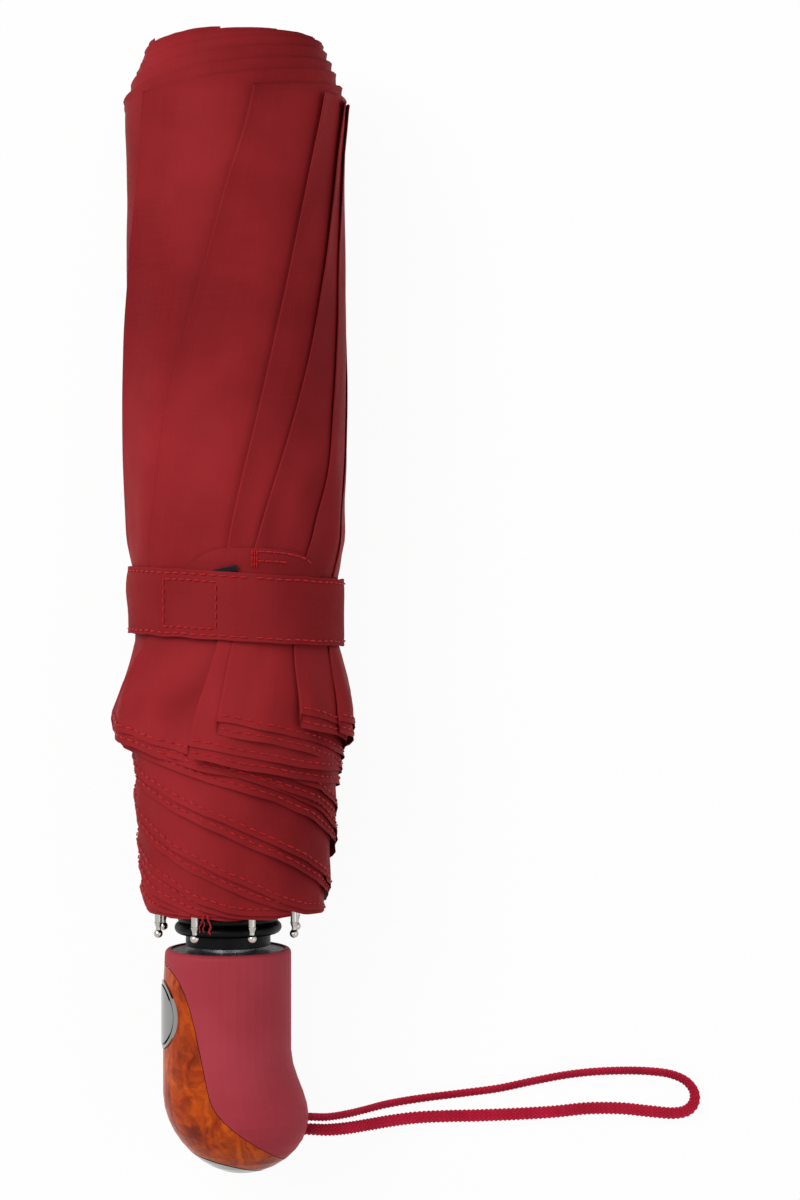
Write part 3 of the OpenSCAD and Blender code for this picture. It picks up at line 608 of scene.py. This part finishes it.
frames = []
for i, row in enumerate(rows):
    along = Vector(rows[min(i + 1, len(rows) - 1)][:3]) - Vector(rows[max(i - 1, 0)][:3])
    along.normalize()
    side = Vector((0, 0, 1)).cross(along).normalized()
    up = along.cross(side)
    lean = math.radians(row[3])
    lift = max(0.0, 1.85 * math.sin(lean) + 0.55 * math.cos(lean) - (row[2] + slot_height))
    centre = Vector(row[:3]) + Vector((0, 0, lift))
    frames.append((centre, math.cos(lean) * side + math.sin(lean) * up,
                   math.cos(lean) * up - math.sin(lean) * side))


def strand_path(k):
    path = []
    for i, (centre, wide, thick) in enumerate(frames):
        phase = (i / pitch_steps + k / strands) % 1.0
        turn = 2 * math.pi * phase
        across = braid_half * (4 * abs(phase - 0.5) - 1)
        over = 0.34 * math.cos(strands * turn) * max(-1.0, min(1.0, 3 * math.sin(turn)))
        path.append(slot_at + (centre + wide * across + thick * over) * MM)
    return path


points, faces, uvs = [], [], []
for k in range(strands):
    path = strand_path(k)
    start = len(points)
    for i, here in enumerate(path):
        along = (path[min(i + 1, len(path) - 1)] - path[max(i - 1, 0)]).normalized()
        thick = frames[i][2]
        side = thick.cross(along).normalized()
        for j in range(yarn_sides):
            turn = math.tau * j / yarn_sides
            points.append(here + (side * yarn_wide * math.cos(turn)
                                  + thick * yarn_thick * math.sin(turn)) * MM)
            uvs.append((0.0028 * j / yarn_sides, i * braid_step * MM * 1.3))
    faces += tube_faces(start, len(path), yarn_sides)

braid = new_piece("wrist_braid", points, faces, cord_yarn, uvs)
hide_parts("wrist_cord")
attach(braid, "handle")
print("cord length", round(cord_length, 1), "mm")


# %% [markdown]
# Here is the heart of the lesson: the rolled canopy. A folding umbrella has eight panels. Each one
# is doubled back on itself, and its free edge is the fold that we see running down the roll. All
# eight are wound the same way, each under the next, so at any place on the roll several layers lie
# on each other. Every layer follows one rule, which keeps them from ever crossing: the further a
# point is from its own free edge, the deeper it lies.
#
# Angles go round the roll in degrees: 0 is to the right, 90 is the side that faces up. Heights run
# along the roll in millimetres, with 0 at the heel and 298 at the crown. The umbrella's middle, at
# half that height, is where the frame has its zero.

# %% Shape of the roll
wound = 340.0
half_length = 149
free_edges = {
    "a": [(119, 205), (137, 190), (156, 183), (200, 165), (250, 146), (280, 137)],
    "h": [(119, 275), (137, 265), (200, 235), (280, 190)],
    "g": [(119, 340), (137, 335), (156, 330), (200, 310), (280, 255)],
    "f": [(119, 389), (137, 385), (156, 378), (200, 360), (280, 320)],
    "e": [(119, 415.5), (137, 414), (156, 409), (181, 393), (200, 387), (266, 373), (280, 366)],
    "d": [(119, 455), (137, 449), (164, 436), (200, 413.5), (228, 399), (270, 382), (280, 377)],
    "c": [(112, 468.5), (119, 466), (137, 457), (162, 451), (200, 434), (247, 413), (278, 399)],
    "b": [(119, 540), (128, 518), (137, 506), (156, 500), (180, 490), (200, 481.5), (219, 470),
          (238, 459), (253, 451), (267, 442.5), (280, 437)]}
outline = [(62, 22.0), (69, 22.9), (80, 24.6), (92, 25.6), (118, 27.2), (136, 27.0), (139, 26.5),
           (154, 26.5), (158, 27.2), (175, 28.0), (215, 28.7), (262, 28.8), (277, 28.5),
           (281.5, 27.0), (285, 25.4), (289, 23.6), (293, 21.6), (297, 18.5)]
hem_line = [(0, 119.0), (60, 112.2), (130, 103.0), (200, 89.5), (250, 79.0), (285, 72.2),
            (305, 69.9), (340, 69.4)]
hem_first = [(height, beta) for beta, height in reversed(hem_line)]
drop = {"c": 6.0, "e": -1.5, "f": 0.5, "b": 0.8}
edge_lift = {"d": 0.8, "e": 0.4, "f": 0.15, "g": 0.4, "h": 0.4}
top_low, top_rise = 276.8, 16.0


def top_height(beta):
    return top_low + top_rise * (1 - (1 - min(1.0, beta / wound)) ** 1.5)


def first_layer(height):
    """How far round from its free edge a panel has to be to reach this height at all."""
    low = through(hem_first, height)
    share = min(0.999, max(0.0, (height - top_low) / top_rise))
    return max(low, wound * (1 - (1 - share) ** (1 / 1.5)))


def under_strap(height):
    return smooth_step(134, 139, height) * (1 - smooth_step(157, 166, height))


def wrinkle(angle, height):
    """Folds shared by all layers, in millimetres."""
    a = math.radians(angle)
    about = Vector((math.cos(a), math.sin(a), 0))
    strap_pull = math.exp(-((height - 147) / 30) ** 2)
    lean = math.radians(angle + 0.55 * (height - 147))
    drawn = Vector((math.cos(lean) * 2.6, math.sin(lean) * 2.6, height * 0.012))
    long_folds = noise.noise(about * 1.5 + Vector((0, 0, height * 0.012 + 7)))
    pulled = noise.noise(drawn * 1.9 + Vector((3, 0, 0)))
    small = noise.noise(about * 5.5 + Vector((0, 0, height * 0.07)))
    loose = smooth_step(150, 190, height)
    gathers = noise.noise(about * 3.6 + Vector((0, 9, height * 0.02)))
    gathered = (1.3 * math.exp(-((height - 165) / 19) ** 2)
                + 1.1 * math.exp(-((height - 124) / 11) ** 2))
    off_crease = abs((angle % 360) - 146 - 0.5 * (139 - height))
    crease = (1.5 * math.exp(-off_crease / 5) * smooth_step(139, 126, height)
              * smooth_step(108, 118, height))
    held = 1 - 0.85 * under_strap(height)
    crumpled = (0.75 * smooth_step(112, 98, height)
                * noise.noise(about * 4.2 + Vector((2, 0, height * 0.11))))
    return crease + crumpled + held * (
        long_folds * (0.5 + 0.6 * loose) + pulled * (0.3 + 0.9 * strap_pull)
        + small * (0.16 + 0.1 * strap_pull) + gathers * 0.95 * gathered)


def place_on_roll(angle, height, radius, floor):
    """A point of the row frame; cloth that would sink into the table is pressed flat on it."""
    a = math.radians(angle)
    x, z = radius * math.cos(a), radius * math.sin(a)
    low = floor - axis_z / MM
    if z < low + 1.2:
        gap = low + 1.2 - z
        z = low + 1.2 - 1.2 * (1 - math.exp(-gap / 1.2))
    return Vector((roll_x + x * MM, (height - half_length) * MM, axis_z + z * MM))


def away(angle):
    """The direction that points straight out from the roll's axis."""
    a = math.radians(angle)
    return Vector((math.cos(a), 0, math.sin(a)))


# %% [markdown]
# Each panel is one grid that runs along its outer layer from the far end to the free edge, round
# the fold, and back along its inner layer. The inner layer's hem hangs a little lower, as it does
# on a real umbrella. Below the strap the first strip of every panel is free, and flares.

# %% Wind the eight panels
betas = [0, 1, 2.4, 4.5, 7.5, 11.5, 16, 21] + [26 + 5.6 * n for n in range(56)] + [wound]
steps = [0, 0.006, 0.014, 0.026, 0.042, 0.062, 0.086]
steps += [0.086 + 0.877 * (n + 1) / 58 for n in range(58)]
steps += [0.972, 0.98, 0.988, 0.994, 1.0]
layer_gap = 0.28
depth_per_degree = 0.56 / 45
metres_per_degree = 0.00048


def hem_height(name, beta, inner):
    waver = 0.5 * noise.noise(Vector((beta * 0.06, ord(name) * 3.1, 5.0 if inner else 0.0)))
    lowered = drop.get(name, 0.0) * (1 - smooth_step(40, 150, beta))
    above = 3.2 * (1 - 0.75 * smooth_step(230, 320, beta))
    return through(hem_line, beta) - lowered - (above if inner else 0.0) + waver


def panel_point(name, beta, inner, share=None, above_hem=0.0, proud=0.0):
    """A point of a panel, by its share of the way from hem to top or by its distance above the hem.
    It comes with its height."""
    hem = hem_height(name, beta, inner)
    top = top_height(beta) + (0.4 if inner else 0.0)
    height = hem + (above_hem if share is None else (top - hem) * share)
    angle = through(free_edges[name], height) - beta
    deep = depth_per_degree * max(0.0, beta - first_layer(height))
    raised = 1.25 * math.exp(-beta / 6.0) * smooth_step(98, 108, height)
    kept = edge_lift.get(name, 1.0)
    raised *= (1 - 0.8 * under_strap(height)) * (
        kept + 0.6 * (1 - kept) * smooth_step(238, 256, height))
    near_hem = math.exp(-(height - hem) / 3.2)
    seed = ord(name) * 7.3
    lifted = max(0.0, noise.noise(Vector((beta * 0.035, seed, 3.0))) + 0.15)
    pucker = noise.noise(Vector((beta * 0.23, seed, 1.0)))
    flare = (0.6 + 0.4 * pucker + 1.9 * lifted) * near_hem
    free = smooth_step(137.5, 121, height) * (1 - smooth_step(36, 62, beta))
    skirt = free * (3.0 + 0.9 * math.sin(math.radians(beta * 7)) * smooth_step(132, 120, height))
    near_top = 0.7 * math.exp(-(top - height) / 2.6) * (1 + 0.6 * pucker + lifted)
    radius = (through(outline, height) - deep + raised + flare + skirt + near_top
              + wrinkle(angle, height))
    if inner:
        radius -= layer_gap
    floor = 0.1 + 0.6 * deep + (0.22 if inner else 0.0)
    return place_on_roll(angle, height, radius + proud, floor), height


def wind(name):
    columns = [(beta, False) for beta in reversed(betas)] + [(beta, True) for beta in betas]
    points, faces, uvs = [], [], []
    for beta, inner in columns:
        along = (beta if inner else -beta) * metres_per_degree
        for share in steps:
            point, height = panel_point(name, beta, inner, share)
            points.append(point)
            uvs.append((along, height * MM))
    rows = len(steps)
    for column in range(len(columns) - 1):
        for row in range(rows - 1):
            a = column * rows + row
            faces.append((a, a + rows, a + rows + 1, a + 1))
    panel = new_piece("canopy_panel_" + name, points, faces, canopy_cloth, uvs)
    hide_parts("canopy_roll", "canopy_shoulder", "canopy_skirt")
    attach(panel, "canopy")


for name in free_edges:
    wind(name)


# %% [markdown]
# Hems are sewn down by machine. The thread is a brighter red than the cloth, so every stitch shows
# as a short dash. One stitch is a tiny rounded bar, and a helper lays a bar from point to point.

# %% Stitches along the hems
bar_sides = 5
bar_rings = ((0.0, 0.45, 0.0), (0.15, 0.9, 0.5), (0.5, 1.0, 0.7), (0.85, 0.9, 0.5),
             (1.0, 0.45, 0.0))     # share of the length, girth and bow


def add_bar(points, faces, start, end, radius, outward):
    """Adds a thin bar with tapered ends, bowed a little outwards, to a list of points and faces."""
    along = (end - start).normalized()
    side = along.cross(outward).normalized()
    up = side.cross(along)
    first = len(points)
    for share, girth, bow in bar_rings:
        centre = start.lerp(end, share) + up * (bow * radius)
        for k in range(bar_sides):
            turn = math.tau * k / bar_sides
            points.append(centre + (side * math.cos(turn) + up * math.sin(turn)) * (radius * girth))
    faces += tube_faces(first, len(bar_rings), bar_sides)


def sew(name, body, runs, radius=0.19 * MM, share=0.68):
    """Stitches along runs of (point, outward direction) pairs; each run is one line of thread.
    Thread given no body is sewn on no body here."""
    points, faces = [], []
    for run in runs:
        for (here, outward), (ahead, _) in zip(run, run[1:]):
            add_bar(points, faces, here, here.lerp(ahead, share), radius, outward)
    thread = new_piece(name, points, faces, stitch_thread)
    if body:
        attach(thread, body)
    return thread


def hem_run(name, inner):
    run = []
    beta = 1.5
    while beta < 330:
        point, _ = panel_point(name, beta, inner, above_hem=1.7, proud=0.16)
        outward = Vector((point.x - roll_x, 0, point.z - axis_z)).normalized()
        run.append((point, outward))
        beta += 5.4
    return run


sew("hem_stitches", "canopy",
    [hem_run(name, inner) for name in free_edges for inner in (False, True)])


# %% [markdown]
# The tie strap is a doubled band of the same cloth, sewn along both edges. Three pieces meet edge
# to edge, because the strap peels open in two steps: the part sewn to the canopy, the front part
# and the tab that carries the hooks.

# %% Tie strap
strap_in, strap_thick, strap_wide = 27.33, 0.5, 17.2
stitch_proud = strap_thick + 0.2


def strap_place(angle, across, proud=0.0):
    """A point on the strap: across runs from -1 to 1 over its width, proud is its height in mm."""
    a = math.radians(angle)
    middle_height = 147.4 - 1.7 * math.cos(a)
    waver = noise.noise(Vector((math.cos(a) * 2.2, math.sin(a) * 2.2, across * 0.9)))
    lift = (0.28 * (waver + 0.4)
            * (1 - 0.8 * smooth_step(92, 100, angle) * (1 - smooth_step(124, 132, angle))))
    end = math.exp(-max(0.0, 176 - angle) / 5.0) if angle > 90 else 0.0
    crumple = end * (0.35 + 0.35 * math.sin(3.2 * across + 0.6))
    seam = -0.11 * math.exp(-((abs(across) - 0.86) / 0.05) ** 2) * smooth_step(0.1, 0.4, proud)
    height = (middle_height + across * strap_wide / 2
              + 0.25 * noise.noise(Vector((angle * 0.09, across, 4))))
    radius = strap_in + max(0.0, lift) + crumple + seam + proud
    return place_on_roll(angle, height, radius, 0.12)


across_steps = [-1, -0.96, -0.91, -0.86, -0.81, -0.7, -0.5, -0.25, 0, 0.25, 0.5, 0.7, 0.81, 0.86,
                0.91, 0.96, 1]


def make_band(name, first, last, place, material=strap_cloth):
    """A doubled band between two angles. Its ends are sharp, so bands that meet look like one."""
    parts = round((last - first) / 2)
    angles = [first + (last - first) * n / parts for n in range(parts + 1)]
    loop = [(across, strap_thick) for across in across_steps]
    loop += [(across, 0.0) for across in reversed(across_steps)]
    points, uvs = [], []
    for angle in angles:
        for across, proud in loop:
            points.append(place(angle, across, proud))
            uvs.append((math.radians(angle) * 0.0278, (across + 0.3 * proud) * strap_wide / 2 * MM))
    piece = new_piece(name, points, tube_faces(0, len(angles), len(loop)), material, uvs)
    rims = {key for face in piece.data.polygons[-2:] for key in face.edge_keys}
    for edge in piece.data.edges:
        edge.use_edge_sharp = edge.key in rims
    return piece


def edge_runs(first, last, pitch=5.2):
    runs = []
    for across in (-0.87, 0.87):
        angles = [first + pitch * n for n in range(int((last - first) / pitch) + 1)]
        runs.append([(strap_place(a, across, stitch_proud), away(a)) for a in angles])
    return runs


def square_run(first, last, across):
    """The seam that holds the hook patch, round a square."""
    corners = [(first, -across), (last, -across), (last, across), (first, across), (first, -across)]
    run = []
    for (a0, u0), (a1, u1) in zip(corners, corners[1:]):
        count = 7 if u0 == u1 else 5
        for n in range(count):
            a, u = a0 + (a1 - a0) * n / count, u0 + (u1 - u0) * n / count
            run.append((strap_place(a, u, stitch_proud), away(a)))
    return run + run[:1]


front_joint, tab_joint = 14.0, 86.0
bend_half = 6                # degrees on each side of a joint
base = make_band("strap_root_band", -183, 4, strap_place)
front = make_band("strap_front_band", 4, 80, strap_place)
tab = make_band("strap_tab_band", 80, 176, strap_place)
for piece, node in ((base, "strap_base"), (front, "strap_front"), (tab, "strap_tab")):
    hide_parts(node)
sew("strap_root_stitches", "canopy", edge_runs(-182, 3))
front_thread = sew("strap_front_stitches", None, edge_runs(5, 79))
tab_thread = sew("strap_tab_stitches", None,
                 edge_runs(81, 174) + [square_run(127, 97, 0.68)])
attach(base, "canopy")
for pieces, bodies, joint in (((front, front_thread), ("canopy", "strap_front"), front_joint),
                              ((tab, tab_thread), ("strap_front", "strap_tab"), tab_joint)):
    for piece in pieces:
        strap_place(joint - bend_half, 0)
        strap_place(joint + bend_half, 0)
        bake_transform(piece)


# %% [markdown]
# The strap is sewn to the canopy through a short tab of its own, which peeks out above it. A
# sliver of the black hook patch shows between the two, and a close row of thread locks the tab.

# %% Root of the strap
root_line = [(35, 155.2), (46, 159.4), (58, 161.2), (78, 161.9), (96, 161.6), (103, 160.4),
             (112, 157.6), (150, 155.4)]
root_low = 152               # height of the root tab's lower edge, hidden under the strap


def root_place(angle, across, proud=0.0):
    height = root_low + (through(root_line, angle) - root_low) * (across + 1) / 2
    radius = (26.75 + 0.9 * smooth_step(155.5, 160, height)
              + 0.15 * noise.noise(Vector((angle * 0.1, across, 8))))
    return place_on_roll(angle, height, radius + proud, 0.1)


def patch_place(angle, across, proud=0.0):
    rise = max(0.0, (116 - angle) / 30) ** 0.7 * (across + 1) / 2
    height = 153.4 + 4.3 * rise
    radius = 26.8 + 1.35 * smooth_step(155.6, 157.0, height)
    return place_on_roll(angle, height, radius + proud, 0.1)


root_tab = make_band("strap_root_tab", 35, 150, root_place)
hook_edge = make_band("hook_patch_edge", 86, 115, patch_place, material=hook_cloth)
lock_proud = strap_thick + 0.15
root_runs = []
for across, far in ((0.82, 44), (0.35, 60)):
    root_runs.append([(root_place(a, across, lock_proud), away(a)) for a in range(far, 80, 4)])
for a in (76, 77.2, 78.4):
    root_runs.append([(root_place(a, u, lock_proud), away(a)) for u in (0.0, 0.32, 0.62, 0.92)])
sew("strap_root_lock", "canopy", root_runs, share=0.9)
for piece in (root_tab, hook_edge):
    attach(piece, "canopy")


# %% [markdown]
# The crown is dressed with the middle of the canopy, drawn in round the cap in small pleats.

# %% Crown cover
cover_in, cover_out = 8.2, 20.8


def make_crown_cover():
    points, faces, uvs = [], [], []
    around, rings = 96, 9
    for ring in range(rings):
        share = ring / (rings - 1)
        radius = cover_in + (cover_out - cover_in) * share
        for k in range(around):
            angle = 360 * k / around
            pleat = math.sin(math.radians(angle * 8)) * 0.75 * share
            height = (293.6 - 6.4 * share ** 1.6 + pleat
                      + 0.5 * noise.noise(Vector((k * 0.3, share * 2, 6))))
            points.append(place_on_roll(angle, height, radius, 0.3))
            uvs.append((math.radians(angle) * radius * MM, radius * MM))
    for ring in range(rings - 1):
        for k in range(around):
            a, b = ring * around + k, ring * around + (k + 1) % around
            faces.append((a, a + around, b + around, b))
    cover = new_piece("crown_cover", points, faces, canopy_cloth, uvs)
    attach(cover, "canopy")


make_crown_cover()


# %% [markdown]
# A few ends of thread hang loose at the lowest hems. Each is a hair-thin run of short bars.

# %% Loose thread ends
random.seed(12)
wisps = []
for a in (103, 104.1, 105.3, 106.2):
    points, angle, height = [], a, 70.0
    for n in range(7):
        radius = 24.6 + 0.5 * math.sin(n * 0.7 + a)
        points.append((place_on_roll(angle, height, radius, 0.1), away(angle)))
        angle += random.uniform(-1.1, 1.3)
        height -= random.uniform(0.5, 1.0)
    wisps.append(points)
sew("thread_ends", "canopy", wisps, radius=0.13 * MM, share=1.0)


# %% [markdown]
# The script closes by bringing the scene up to date.

# %% Update the scene
bpy.context.view_layer.update()
